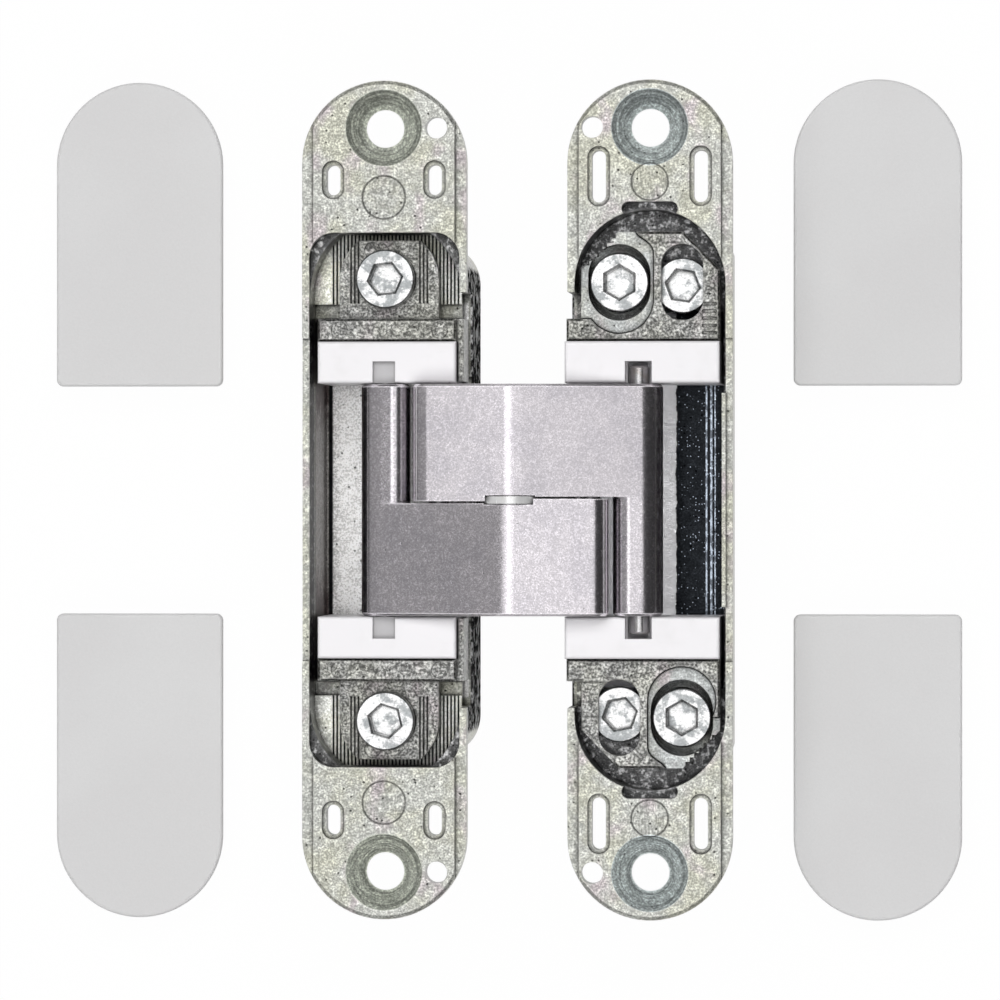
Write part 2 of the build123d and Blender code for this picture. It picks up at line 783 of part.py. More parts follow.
# Cover caps, taken off and laid beside the leaves on their own legs
def cover_cap(x, end):
    radius = cover_width / 2
    straight = cover_gap_y / 2
    tip = straight + cover_length
    leaf_tip = leaf_length / 2 + (cover_width - leaf_width) / 2
    with BuildPart() as cap:
        with BuildSketch(level(cover_leg - housing_depth, x, end)) as plan:
            with Locations((0, straight)):
                Rectangle(cover_width, cover_length - radius, align=(Align.CENTER, Align.MIN))
            with Locations((0, tip - radius)):
                Circle(radius)
            fillet(plan.vertices().group_by(Axis.Y)[0], cover_corner)
        extrude(amount=cover_thickness)
        fillet(cap.faces().sort_by(Axis.Z)[-1].edges(), cover_edge)
        # Two clip legs for the slots of the leaf and two pegs for the corners of its pocket
        with BuildSketch(level(-housing_depth, x, end)):
            with GridLocations(2 * clip_slot_spread, 0, 2, 1):
                with Locations((0, tip - leaf_tip + frame_clip_slot_y)):
                    Rectangle(cover_leg_width, cover_leg_length)
            with GridLocations(2 * cover_peg_spread, 0, 2, 1):
                with Locations((0, tip - leaf_tip + cover_peg_y)):
                    Circle(cover_peg / 2)
        extrude(amount=cover_leg)
    return cap.part


pieces = {
    "frame_housing": frame_housing.part,
    "door_housing": door_housing.part,
    "upper_arm": hinge_arm(1, seat_fit),
    "lower_arm": hinge_arm(-1, running_fit),
    "centre_washer": centre_washer.part,
    "centre_pin": round_pin((0, 0), centre_pin_diameter, arm_half - arm_edge),
    "frame_pivot_pin": round_pin((pivot.X, pivot.Y), pin_diameter, guide_end + bore_depth - pin_edge),
    "door_pivot_pin": round_pin((-pivot.X, pivot.Y), pin_diameter, guide_end + bore_depth - pin_edge),
    "frame_slide_pin": round_pin((slide_open.X, slide_open.Y), pin_diameter, arm_half + slide_pin_reach),
    "door_slide_pin": round_pin((-slide_open.X, slide_open.Y), pin_diameter, arm_half + slide_pin_reach),
}
frame_outline = block_points(1, 0, frame_guide_inset, frame_guide_play, guide_front)
door_outline = block_points(-1, door_x, door_guide_inset, door_guide_play, guide_front)
for place, end in (("upper", 1), ("lower", -1)):
    pieces[f"frame_{place}_carriage"] = frame_carriage(end)
    pieces[f"frame_{place}_clamp_plate"] = frame_clamp_plate(end)
    pieces[f"frame_{place}_guide"] = nylon_guide(1, end, frame_outline)
    pieces[f"frame_{place}_clamp_screw"] = socket_screw(
        -end * clamp_offset, end * clamp_y, head_seat + head_height, head_diameter, clamp_screw_turn
    )
    pieces[f"frame_{place}_adjusting_screw"] = socket_screw(
        end * adjuster_offset,
        end * adjuster_y,
        carriage_top - adjuster_drop,
        adjuster_head,
        upper_adjuster_turn if end > 0 else lower_adjuster_turn,
    )
    pieces[f"door_{place}_carriage"] = door_carriage(end)
    pieces[f"door_{place}_guide"] = nylon_guide(-1, end, door_outline)
    pieces[f"door_{place}_clamp_screw"] = socket_screw(
        door_x,
        end * door_clamp_y,
        tongue_top + seat_gap + head_height,
        head_diameter,
        upper_door_screw_turn if end > 0 else lower_door_screw_turn,
    )
    pieces[f"frame_{place}_cover"] = cover_cap(half_width + frame_cover_gap + cover_width / 2, end)
    pieces[f"door_{place}_cover"] = cover_cap(door_x - half_width - door_cover_gap - cover_width / 2, end)

os.makedirs("parts", exist_ok=True)
for name, piece in pieces.items():
    seated = piece.moved(Location((0, 0, plate_thickness)))
    seated.label = name
    export_step(seated, f"parts/{name}.step")
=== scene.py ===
import json
import bmesh
import bpy
from mathutils import Matrix, Vector


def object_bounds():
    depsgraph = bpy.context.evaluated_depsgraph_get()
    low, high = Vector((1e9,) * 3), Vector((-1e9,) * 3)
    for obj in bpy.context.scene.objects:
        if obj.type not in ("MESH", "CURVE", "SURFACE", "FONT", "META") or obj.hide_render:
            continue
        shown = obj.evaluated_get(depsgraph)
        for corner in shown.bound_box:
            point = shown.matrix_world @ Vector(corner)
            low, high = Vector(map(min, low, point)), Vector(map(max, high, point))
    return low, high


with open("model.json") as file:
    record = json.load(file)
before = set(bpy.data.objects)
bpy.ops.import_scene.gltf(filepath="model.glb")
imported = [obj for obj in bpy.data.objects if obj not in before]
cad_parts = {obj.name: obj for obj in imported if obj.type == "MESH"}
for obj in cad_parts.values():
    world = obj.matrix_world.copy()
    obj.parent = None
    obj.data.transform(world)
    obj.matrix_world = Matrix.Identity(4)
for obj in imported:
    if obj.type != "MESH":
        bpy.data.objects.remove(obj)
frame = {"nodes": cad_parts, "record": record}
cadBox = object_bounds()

nodes = frame["nodes"]
mounts = {m["name"]: m for m in frame["record"]["mounts"]}
mm = 0.001
print("frame loaded:", len(nodes), "pieces")


class Wire:  # one socket of a node tree, so that shader maths reads as maths
    def __init__(self, tree, socket=None):
        self.tree = tree
        self.socket = socket

    def make(self, kind, settings=None, inputs=None, out=0):
        node = self.tree.nodes.new(kind)
        for key, value in (settings or {}).items():
            setattr(node, key, value)
        for key, value in (inputs or {}).items():
            if isinstance(value, Wire):
                self.tree.links.new(value.socket, node.inputs[key])
            else:
                node.inputs[key].default_value = value
        return Wire(self.tree, node.outputs[out])

    def also(self, out):  # another output of the same node
        return Wire(self.tree, self.socket.node.outputs[out])

    def maths(self, operation, a, b=0.0):
        return self.make("ShaderNodeMath", {"operation": operation}, {0: a, 1: b})

    def vector(self, operation, a, b, out=0):
        return self.make("ShaderNodeVectorMath", {"operation": operation}, {0: a, 1: b}, out)

    def __add__(self, other):
        return self.maths("ADD", self, other)

    def __radd__(self, other):
        return self.maths("ADD", other, self)

    def __sub__(self, other):
        return self.maths("SUBTRACT", self, other)

    def __rsub__(self, other):
        return self.maths("SUBTRACT", other, self)

    def __mul__(self, other):
        return self.maths("MULTIPLY", self, other)

    def __rmul__(self, other):
        return self.maths("MULTIPLY", other, self)

    def absolute(self):
        return self.maths("ABSOLUTE", self)

    def rise(self, low, high):  # smooth step from 0 at low to 1 at high, either way round
        levels = {0: self, 1: low, 2: high, 3: 0.0, 4: 1.0}
        return self.make("ShaderNodeMapRange", {"interpolation_type": "SMOOTHSTEP"}, levels)

    def band(self, centre, half):  # 1 at the centre, falling to 0 at half on both sides
        return (self - centre).absolute().rise(half, half * 0.5)

    def tint(self, a, b):  # colour a where this wire is 0, colour b where it is 1
        return self.make("ShaderNodeMix", {"data_type": "RGBA"}, {0: self, 6: a, 7: b}, 2)

    def shade(self, colour):  # the colour times this wire
        return self.make("ShaderNodeVectorMath", {"operation": "SCALE"}, {0: colour, 3: self})


def rgb(r, g, b):
    return (r, g, b, 1)


def startMaterial(name, fixed):  # gives the place on the piece in mm
    material = bpy.data.materials.new(name)
    material.use_nodes = True
    shader = material.node_tree.nodes["Principled BSDF"]
    for key, value in fixed.items():
        shader.inputs[key].default_value = value
    place = Wire(material.node_tree).make("ShaderNodeTexCoord", out="Object")
    place = place.make("ShaderNodeVectorMath", {"operation": "SCALE"}, {0: place, 3: 1 / mm})
    return material, shader, place


def feed(shader, wires):
    for name, wire in wires.items():
        wire.tree.links.new(wire.socket, shader.inputs[name])


def mixIn(material, shader, other, share):  # the other shader takes this share of the surface
    tree = material.node_tree
    both = {0: share, 1: Wire(tree, shader.outputs[0]), 2: other}
    mixed = share.make("ShaderNodeMixShader", inputs=both)
    tree.links.new(mixed.socket, tree.nodes["Material Output"].inputs["Surface"])


def axes(place):
    x = place.make("ShaderNodeSeparateXYZ", inputs={0: place})
    return x, x.also(1), x.also(2)


def noise(place, perMm, detail=2.0, roughness=0.5, stretch=None):
    if stretch:
        place = place.vector("MULTIPLY", place, stretch)
    inputs = {"Vector": place, "Scale": perMm, "Detail": detail, "Roughness": roughness}
    return place.make("ShaderNodeTexNoise", inputs=inputs)


def pits(place, perMm, size, share):  # round dots, 1 inside, in a share of the cells
    near = place.make("ShaderNodeTexVoronoi", inputs={"Vector": place, "Scale": perMm})
    pick = place.make("ShaderNodeSeparateColor", inputs={0: near.also("Color")})
    return near.rise(size, size * 0.5) * pick.rise(share, share * 0.8)


def openness(place, reach):  # 1 in the open, 0 deep in a corner
    return place.make("ShaderNodeAmbientOcclusion", {"samples": 3}, {"Distance": reach * mm}, "AO")


edgeBend = (0.001, 0.016)  # share of the normal's turn at which an edge starts and is full


def softEdge(place, radius):  # normal that is rounded over sharp edges, and a mask of those edges
    rounded = place.make("ShaderNodeBevel", {"samples": 3}, {"Radius": radius * mm})
    flat = place.make("ShaderNodeNewGeometry", out="Normal")
    bend = 1 - place.vector("DOT_PRODUCT", rounded, flat, 1)
    return rounded, bend.rise(*edgeBend)


def bump(height, normal):  # height in mm
    inputs = {"Strength": 1.0, "Distance": mm, "Height": height, "Normal": normal}
    return height.make("ShaderNodeBump", inputs=inputs)


def ring(x, y, centreY):  # distance from an upright axis on the leaf's middle line, the same at both ends
    along = y.absolute() - centreY
    return x.maths("SQRT", x * x + along * along)


def leafX(mount):
    return mounts[mount]["pos_m"][0] / mm


def screwHalf(mount):
    return mounts[mount]["dims"]["spacing_y_mm"] / 2


# Zinc castings. In each look a pair of numbers is where a mask starts and where it is full
casting = {
    "pale": rgb(0.475, 0.48, 0.45), "warm": rgb(0.47, 0.47, 0.40), "rose": rgb(0.475, 0.435, 0.44),
    "patchPerMm": 0.13, "warmPatch": (0.40, 0.64),
    "blushPerMm": 0.221, "blushStretch": (1.0, 0.7, 1.3), "roseBlush": (0.54, 0.72),
    "grainPerMm": 3.4, "coarseShare": 0.27, "grainDepth": 0.018, "grainRough": 0.25, "contrast": 0.42,
    "pitPerMm": 1.1, "pitSize": 0.2, "pitShare": 0.36, "pitDepth": 0.06, "pitShade": 0.75,
    # next line: painted shade in crevices and corners; the line after: painted shade in narrow gaps; then a
    # painted highlight along sharp edges
    "creviceReach": 2.6, "creviceOpen": (0.22, 0.92), "creviceShade": 0.9,
    "gapReach": 0.5, "gapFree": (0.45, 0.96), "gapShade": 0.9,
    "edgeRadius": 0.45, "edgeFree": (0.5, 0.85), "edgeHighlight": 0.8, "edgeDull": 0.95, "roughness": 0.36,
}
plateLook = dict(
    casting, pale=rgb(0.45, 0.465, 0.46), warm=rgb(0.44, 0.445, 0.41), grainDepth=0.014, contrast=0.4,
    creviceShade=0.97, gapReach=1.0,
)
carriageLook = dict(
    casting, pale=rgb(0.31, 0.31, 0.30), warm=rgb(0.30, 0.30, 0.275), rose=rgb(0.31, 0.29, 0.29),
    grainPerMm=2.8, grainDepth=0.026, contrast=0.75, creviceShade=0.25,
)
speckleStops = (0.34, 0.66)
speckleGain = 2.9  # brings the mean of the squared noise back to about 1


def speckle(grain, coarse, contrast):  # mottled light about 1
    mixed = grain.rise(*speckleStops) * 0.7 + coarse.rise(*speckleStops) * 0.3
    return mixed * mixed * (speckleGain * contrast) + (1 - contrast)


def zincLayers(place, look):
    patch = noise(place, look["patchPerMm"], detail=3.0, roughness=0.6)
    blush = noise(place, look["blushPerMm"], stretch=look["blushStretch"])
    grain = noise(place, look["grainPerMm"], detail=3.0, roughness=0.65)
    coarse = noise(place, look["grainPerMm"] * look["coarseShare"], roughness=0.6)
    dots = pits(place, look["pitPerMm"], look["pitSize"], look["pitShare"])
    free = openness(place, look["creviceReach"])
    gap = openness(place, look["gapReach"])
    normal, edge = softEdge(place, look["edgeRadius"])
    # sharp edges that get a painted highlight, and are made less metallic so that it shows
    litEdge = edge * gap.rise(*look["edgeFree"])
    colour = patch.rise(*look["warmPatch"]).tint(look["pale"], look["warm"])
    colour = blush.rise(*look["roseBlush"]).tint(colour, look["rose"])
    light = speckle(grain, coarse, look["contrast"]) * (1 - look["pitShade"] * dots)
    # painted shade in crevices and corners, and in narrow gaps on the next line
    light = light * (1 - look["creviceShade"] * (1 - free.rise(*look["creviceOpen"])))
    light = light * (1 - look["gapShade"] * (1 - gap.rise(*look["gapFree"])))
    height = grain * look["grainDepth"] + coarse * (2 * look["grainDepth"])
    return {
        "colour": colour,
        "light": light + litEdge * look["edgeHighlight"],
        "height": height - dots * look["pitDepth"],
        "rough": (grain - 0.5) * look["grainRough"] + look["roughness"],
        "metal": 1 - litEdge * look["edgeDull"],
        "normal": normal,
    }


def feedLayers(shader, layers):
    feed(shader, {
        "Base Color": layers["light"].shade(layers["colour"]),
        "Roughness": layers["rough"],
        "Metallic": layers["metal"],
        "Normal": bump(layers["height"], layers["normal"]),
    })


def zincCasting(name, look):
    material, shader, place = startMaterial(name, {})
    feedLayers(shader, zincLayers(place, look))
    return material


# The two housings, across the leaf (x, from its middle line), along it (y) and up (z) in mm
bothLeaves = {
    "countersink": (5.55, 5.43), "turnedPerMm": 3.2, "turnedDrift": 0.02, "turnedStops": (0.4, 0.62),
    "turnedTint": 0.85, "turnedShade": 0.5, "turnedDull": 0.6, "turnedDepth": 0.06,
    "markPerMm": 2.2, "markStops": (0.36, 0.64), "markSoft": 0.1, "markShade": 0.24, "markShine": 0.3,
    "rimOut": 0.06, "rimWidth": 0.16, "rimShade": 0.6,
    "pocketSide": (11.2, 10.95), "pocketEnd": (44.4, 43.6),
    # next line: lighter streaks in the painted shade of the pocket walls; the line after: the outer wall's
    # painted near-black shade
    "wallStreakPerMm": 1.1, "wallStreakStops": (0.5, 0.72), "wallStreakStretch": (1.0, 1.0, 0.4), "wallStreakLight": 4.0,
    "outerWall": (11.3, 11.6), "belowPlate": (0.0, -0.4), "sideShadeColour": rgb(0.03, 0.03, 0.03),
    "sidePerMm": 1.5, "sideStops": (0.48, 0.6), "sideStretch": (1.0, 0.4, 0.3),
    "wellSide": (11.25, 11.1), "wellEnd": (28.6, 28.2), "wellFloor": (-23.3, -22.5),
}


def turnCountersinks(layers, x, y, leaf):
    radius = ring(x, y, screwHalf(leaf["screws"]))
    bored = radius.rise(*leaf["countersink"])
    drift = leaf["turnedDrift"]
    around = x.make("ShaderNodeCombineXYZ", inputs={0: radius, 1: x * drift, 2: y * drift})
    turned = noise(around, leaf["turnedPerMm"], detail=3.0, roughness=0.6)
    layers["colour"] = (bored * leaf["turnedTint"]).tint(layers["colour"], leaf["turnedColour"])
    layers["light"] = layers["light"] * (1 - bored * turned.rise(*leaf["turnedStops"]) * leaf["turnedShade"])
    layers["metal"] = layers["metal"] * (1 - bored * leaf["turnedDull"])
    layers["height"] = layers["height"] + bored * turned * leaf["turnedDepth"]


def grindMarks(layers, place, x, y, leaf):
    distance = ring(x, y, leaf["markY"])
    ground = distance.rise(leaf["mark"], leaf["mark"] - leaf["markSoft"])
    rim = distance.band(leaf["mark"] + leaf["rimOut"], leaf["rimWidth"])
    lines = noise(place, leaf["markPerMm"], stretch=leaf["markStretch"]).rise(*leaf["markStops"])
    shaded = 1 - ground * (leaf["markShade"] - leaf["markShine"] * lines)
    layers["light"] = layers["light"] * shaded * (1 - leaf["rimShade"] * rim)


def paintPocketShade(layers, place, x, y, z, leaf):  # painted shade on the walls of the pocket, with lighter streaks in it
    inside = x.absolute().rise(*leaf["pocketSide"]) * y.absolute().rise(*leaf["pocketEnd"])
    walls = inside * z.rise(*leaf["shadeTop"]) * z.rise(*leaf["shadeFoot"])
    wallStreak = noise(place, leaf["wallStreakPerMm"], detail=3.0, roughness=0.7, stretch=leaf["wallStreakStretch"])
    layers["colour"] = walls.tint(layers["colour"], leaf["shadeColour"])
    layers["light"] = layers["light"] + walls * wallStreak.rise(*leaf["wallStreakStops"]) * leaf["wallStreakLight"]


def matteShadedSide(material, shader, place, x, z, leaf):  # outer wall towards the other leaf, made rough, with a painted near-black shade and light streaks
    side = (x * leaf["innerSide"]).rise(*leaf["outerWall"]) * z.rise(*leaf["belowPlate"])
    streak = noise(place, leaf["sidePerMm"], detail=3.0, roughness=0.7, stretch=leaf["sideStretch"])
    colour = streak.rise(*leaf["sideStops"]).tint(leaf["sideShadeColour"], leaf["sideStreak"])
    rough = {"Base Color": colour, "Roughness": 1.0, "Specular IOR Level": 0.0}
    mixIn(material, shader, place.make("ShaderNodeBsdfPrincipled", inputs=rough), side)


def zincHousing(name, look, leaf, wellLook):
    material, shader, place = startMaterial(name, {})
    layers = zincLayers(place, look)
    x, y, z = axes(place)
    x = x - leafX(leaf["screws"])
    turnCountersinks(layers, x, y, leaf)
    grindMarks(layers, place, x, y, leaf)
    paintPocketShade(layers, place, x, y, z, leaf)
    wellLook(layers, place, x, y, z, leaf)
    feedLayers(shader, layers)
    matteShadedSide(material, shader, place, x, z, leaf)
    return material


def insideWell(x, y, z, leaf):  # not the outside of the same walls
    across = x.absolute().rise(*leaf["wellSide"]) * y.absolute().rise(*leaf["wellEnd"])
    return across * z.rise(*leaf["wellTop"]) * z.rise(*leaf["wellFloor"])


frameLeaf = {
    **bothLeaves,
    "screws": "frame_leaf_screws", "turnedColour": rgb(0.60, 0.66, 0.66),
    "mark": 2.6, "markY": 45.2, "markStretch": (2.4, 0.25, 1.0),
    "shadeTop": (2.0, 1.0), "shadeFoot": (-9.3, -8.8), "shadeColour": rgb(0.15, 0.15, 0.152),
    "innerSide": -1.0, "sideStreak": rgb(0.6, 0.6, 0.6), "wellTop": (-9.0, -10.0),
    # next lines: painted shade and dark reflection of the well's floor, its painted-light strip and its
    # painted glint lines
    "darkFrom": (2.45, 2.75), "darkColour": rgb(0.016, 0.018, 0.021), "darkGloss": 0.14,
    "wavePerMm": 0.7, "waveReach": 0.8, "stripLitColour": rgb(0.95, 0.95, 0.96), "stripLight": 0.9,
    "speckPerMm": 2.4, "speckSize": 0.26, "speckShare": 0.45, "speckLight": 22.0,
    "lines": ((7.05, 0.16), (7.75, 0.2), (8.3, 0.12)), "lineLight": 8.0,  # place across and half width
    "streakPerMm": 1.3, "streakStops": (0.42, 0.58), "streakStretch": (1.0, 0.6, 1.0), "streakLight": 22.0,
}


# deep floor of the frame's well: painted shade and dark reflection, a strip beside it painted bright as
# painted light, bright dust specks and painted glint lines
def shadedFrameWell(layers, place, x, y, z, leaf):
    deep = insideWell(x, y, z, leaf)
    wave = noise(place, leaf["wavePerMm"], detail=3.0, roughness=0.6)
    dark = deep * (x + (wave - 0.5) * leaf["waveReach"]).rise(*leaf["darkFrom"])
    strip = deep - dark
    specks = pits(place, leaf["speckPerMm"], leaf["speckSize"], leaf["speckShare"])
    streak = noise(place, leaf["streakPerMm"], roughness=0.6, stretch=leaf["streakStretch"])
    lines = sum(x.band(*line) for line in leaf["lines"])
    glint = lines * (streak.rise(*leaf["streakStops"]) * leaf["streakLight"] + leaf["lineLight"])
    layers["colour"] = dark.tint(layers["colour"], leaf["darkColour"])
    layers["colour"] = strip.tint(layers["colour"], leaf["stripLitColour"])
    layers["light"] = layers["light"] + dark * (specks * leaf["speckLight"] + glint)
    layers["light"] = layers["light"] + strip * leaf["stripLight"]
    layers["metal"] = layers["metal"] * (1 - strip)
    layers["rough"] = layers["rough"] - dark * leaf["darkGloss"]


doorLeaf = {
    **bothLeaves,
    "screws": "door_leaf_screws", "turnedColour": rgb(0.60, 0.63, 0.55),
    "mark": 3.05, "markY": 43.1, "markStretch": (1.6, 1.6, 1.0),
    "shadeTop": (2.2, 1.2), "shadeFoot": (-5.2, -4.7), "shadeColour": rgb(0.14, 0.14, 0.14),
    "innerSide": 1.0, "sideStreak": rgb(0.85, 0.85, 0.85), "wellTop": (-6.5, -7.5),
    # next lines: the shelf's painted light, the wall's and floor's painted-light colours and the corner's
    # painted shade
    "shelfZ": -5.2, "shelfHalf": 0.5, "shelfLight": 0.9,
    "wallX": (-10.3, -10.55), "wallLitPale": rgb(0.85, 0.81, 0.78), "wallBrown": rgb(0.26, 0.20, 0.20),
    "brownFrom": (9.0, 16.0), "blotchPerMm": 0.5, "blotchReach": 12.0,
    "cornerX": -10.2, "cornerHalf": 0.55, "darkColour": rgb(0.012, 0.012, 0.014),
    "floorX": (-10.2, -10.0), "floorLitColour": rgb(0.96, 0.95, 0.94),
}


# door's well: wall and floor painted lighter than the casting as painted light, the wall darker and browner
# towards both ends, painted shade along the corner of wall and floor
def brownWell(layers, place, x, y, z, leaf):
    deep = insideWell(x, y, z, leaf)
    shelf = z.band(leaf["shelfZ"], leaf["shelfHalf"]) * x.absolute().rise(*leaf["pocketSide"])
    wall = x.rise(*leaf["wallX"]) * deep
    corner = x.band(leaf["cornerX"], leaf["cornerHalf"]) * deep * (1 - wall)
    floor = deep * x.rise(*leaf["floorX"])
    blotch = noise(place, leaf["blotchPerMm"], detail=3.0, roughness=0.65)
    far = y.absolute() + (blotch - 0.5) * leaf["blotchReach"]
    brown = far.rise(*leaf["brownFrom"]).tint(leaf["wallLitPale"], leaf["wallBrown"])
    layers["colour"] = wall.tint(layers["colour"], brown)
    layers["colour"] = floor.tint(layers["colour"], leaf["floorLitColour"])
    layers["colour"] = corner.tint(layers["colour"], leaf["darkColour"])
    # painted light on the shelf
    layers["light"] = layers["light"] * (1 + shelf * leaf["shelfLight"])


# Bright zinc screws
screwLook = {
    "bright": rgb(0.82, 0.82, 0.82), "dull": rgb(0.37, 0.385, 0.39),
    "patchPerMm": 0.45, "dullPatch": (0.46, 0.58), "patchRough": 0.2,
    "scratchPerMm": 2.6, "scratchStretch": (0.35, 2.4, 1.0), "scratchStops": (0.56, 0.7),
    "scratchShade": 0.4, "roughScratch": (0.55, 0.75), "scratchRough": 0.12, "scratchDepth": 0.008,
    "grainPerMm": 3.4, "grainDepth": 0.008, "contrast": 0.14, "roughness": 0.3,
    "creviceReach": 0.5, "creviceOpen": (0.3, 0.9), "creviceShade": 0.85, "edgeRadius": 0.12, "edgeShade": 0.8,
}


def zincScrew(name, look):
    material, shader, place = startMaterial(name, {"Metallic": 1.0})
    patch = noise(place, look["patchPerMm"], detail=4.0, roughness=0.7)
    scratch = noise(place, look["scratchPerMm"], detail=3.0, roughness=0.6, stretch=look["scratchStretch"])
    grain = noise(place, look["grainPerMm"], roughness=0.7)
    free = openness(place, look["creviceReach"])
    normal, edge = softEdge(place, look["edgeRadius"])
    colour = patch.rise(*look["dullPatch"]).tint(look["bright"], look["dull"])
    light = speckle(grain, scratch, look["contrast"])
    light = light * (1 - scratch.rise(*look["scratchStops"]) * look["scratchShade"])
    # painted shade in crevices and painted dark outlines along edges
    light = light * (1 - look["creviceShade"] * (1 - free.rise(*look["creviceOpen"]))) * (1 - edge * look["edgeShade"])
    rough = look["roughness"] + (patch - 0.5) * look["patchRough"]
    feed(shader, {
        "Base Color": light.shade(colour),
        "Roughness": rough + scratch.rise(*look["roughScratch"]) * look["scratchRough"],
        "Normal": bump(scratch * look["scratchDepth"] + grain * look["grainDepth"], normal),
    })
    return material


# Satin arms
armLook = {
    "pale": rgb(0.735, 0.70, 0.735), "deep": rgb(0.66, 0.63, 0.67),
    "cloudPerMm": 0.16, "deepCloud": (0.4, 0.66),
    "grainPerMm": 4.2, "grainDepth": 0.001, "grainRough": 0.12, "contrast": 0.19, "roughness": 0.2,
    "dentPerMm": 0.42, "dentSize": 0.07, "dentShare": 0.3, "dentShade": 0.45, "dentDepth": 0.04,
    "scuffPerMm": 1.7, "scuffStretch": (1.0, 0.7, 1.0), "scuffStops": (0.62, 0.78), "scuffShade": 0.08,
    "roughScuff": (0.55, 0.75), "scuffRough": 0.06, "creviceReach": 1.6, "creviceOpen": (0.1, 0.5), "creviceShade": 0.95,
    "edgeRadius": 0.26, "edgeHighlight": 0.8, "edgeDull": 0.9,
}


def satinArm(name, look):
    material, shader, place = startMaterial(name, {})
    cloud = noise(place, look["cloudPerMm"], detail=3.0, roughness=0.55)
    grain = noise(place, look["grainPerMm"], detail=3.0, roughness=0.7)
    dents = pits(place, look["dentPerMm"], look["dentSize"], look["dentShare"])
    scuff = noise(place, look["scuffPerMm"], detail=4.0, roughness=0.7, stretch=look["scuffStretch"])
    free = openness(place, look["creviceReach"])
    normal, edge = softEdge(place, look["edgeRadius"])
    # sharp edges that get a painted highlight, and are made less metallic so that it shows
    litEdge = edge * free
    colour = cloud.rise(*look["deepCloud"]).tint(look["pale"], look["deep"])
    light = speckle(grain, scuff, look["contrast"]) - scuff.rise(*look["scuffStops"]) * look["scuffShade"]
    light = light * (1 - dents * look["dentShade"])
    # painted shade in crevices, and a painted highlight along edges
    light = light * (1 - look["creviceShade"] * (1 - free.rise(*look["creviceOpen"]))) + litEdge * look["edgeHighlight"]
    rough = look["roughness"] + (grain - 0.5) * look["grainRough"]
    feed(shader, {
        "Base Color": light.shade(colour),
        "Roughness": rough + scuff.rise(*look["roughScuff"]) * look["scuffRough"],
        "Metallic": 1 - litEdge * look["edgeDull"],
        "Normal": bump(grain * look["grainDepth"] - dents * look["dentDepth"], normal),
    })
    return material


# Ground steel pins and washer
steelLook = {
    "steel": rgb(0.66, 0.65, 0.66), "brown": rgb(0.48, 0.44, 0.42),
    "stainPerMm": 0.35, "brownStain": (0.5, 0.75), "drawnPerMm": 2.0, "drawnStretch": (3.0, 0.15, 3.0),
    "drawnLight": 0.2, "drawnRough": 0.2, "drawnDepth": 0.01,
    "creviceReach": 0.8, "creviceShade": 0.5, "edgeRadius": 0.12, "edgeHighlight": 0.3, "metal": 1.0, "roughness": 0.24,
}
washerLook = dict(steelLook, steel=rgb(0.93, 0.93, 0.93), brown=rgb(0.85, 0.84, 0.83), metal=0.4)


def groundSteel(name, look):
    material, shader, place = startMaterial(name, {"Metallic": look["metal"]})
    drawn = noise(place, look["drawnPerMm"], detail=3.0, roughness=0.6, stretch=look["drawnStretch"])
    stain = noise(place, look["stainPerMm"], detail=3.0, roughness=0.6)
    free = openness(place, look["creviceReach"])
    normal, edge = softEdge(place, look["edgeRadius"])
    colour = stain.rise(*look["brownStain"]).tint(look["steel"], look["brown"])
    # painted shade in crevices
    light = (1 + (drawn - 0.5) * look["drawnLight"]) * (1 - look["creviceShade"] * (1 - free))
    # painted highlight along edges in the base colour
    feed(shader, {
        "Base Color": (light + edge * free * look["edgeHighlight"]).shade(colour),
        "Roughness": look["roughness"] + (drawn - 0.5) * look["drawnRough"],
        "Normal": bump(drawn * look["drawnDepth"], normal),
    })
    return material


# White nylon, with a shaded recess in the guides of the door leaf
nylonLook = {
    "white": rgb(0.95, 0.935, 0.955), "cream": rgb(0.91, 0.895, 0.91), "cloudPerMm": 0.2,
    "creamCloud": (0.45, 0.75), "flowPerMm": 1.3, "flowStretch": (0.3, 1.0, 0.3), "flowStops": (0.6, 0.8),
    "flowShade": 0.02, "flowRough": 0.14, "flowDepth": 0.012,
    "speckPerMm": 0.16, "speckSize": 0.03, "speckShare": 0.5, "speckShade": 0.75,
    "creviceReach": 1.5, "creviceOpen": (0.3, 0.9), "creviceShade": 0.3, "edgeRadius": 0.2, "edgeHighlight": 0.04,
    "recessX": leafX("door_leaf_screws") - 0.05, "recessSide": (1.65, 1.55), "recessTop": (2.3, 2.1),
    "recessShade": 0.44, "specular": 0.4, "roughness": 0.42,
}


def whiteNylon(name, look):
    material, shader, place = startMaterial(name, {"Metallic": 0.0, "Specular IOR Level": look["specular"]})
    cloud = noise(place, look["cloudPerMm"], detail=3.0, roughness=0.55)
    flow = noise(place, look["flowPerMm"], detail=3.0, roughness=0.55, stretch=look["flowStretch"])
    specks = pits(place, look["speckPerMm"], look["speckSize"], look["speckShare"])
    free = openness(place, look["creviceReach"])
    normal, edge = softEdge(place, look["edgeRadius"])
    x, _, z = axes(place)
    recess = (x - look["recessX"]).absolute().rise(*look["recessSide"]) * z.rise(*look["recessTop"])
    colour = cloud.rise(*look["creamCloud"]).tint(look["white"], look["cream"])
    # painted shade in crevices, then a faint painted highlight along edges
    light = (1 - specks * look["speckShade"]) * (1 - look["creviceShade"] * (1 - free.rise(*look["creviceOpen"])))
    light = light - flow.rise(*look["flowStops"]) * look["flowShade"] + edge * free * look["edgeHighlight"]
    feed(shader, {
        "Base Color": (light * (1 - recess * look["recessShade"])).shade(colour),
        "Roughness": look["roughness"] + (flow - 0.5) * look["flowRough"],
        "Normal": bump(flow * look["flowDepth"], normal),
    })
    return material


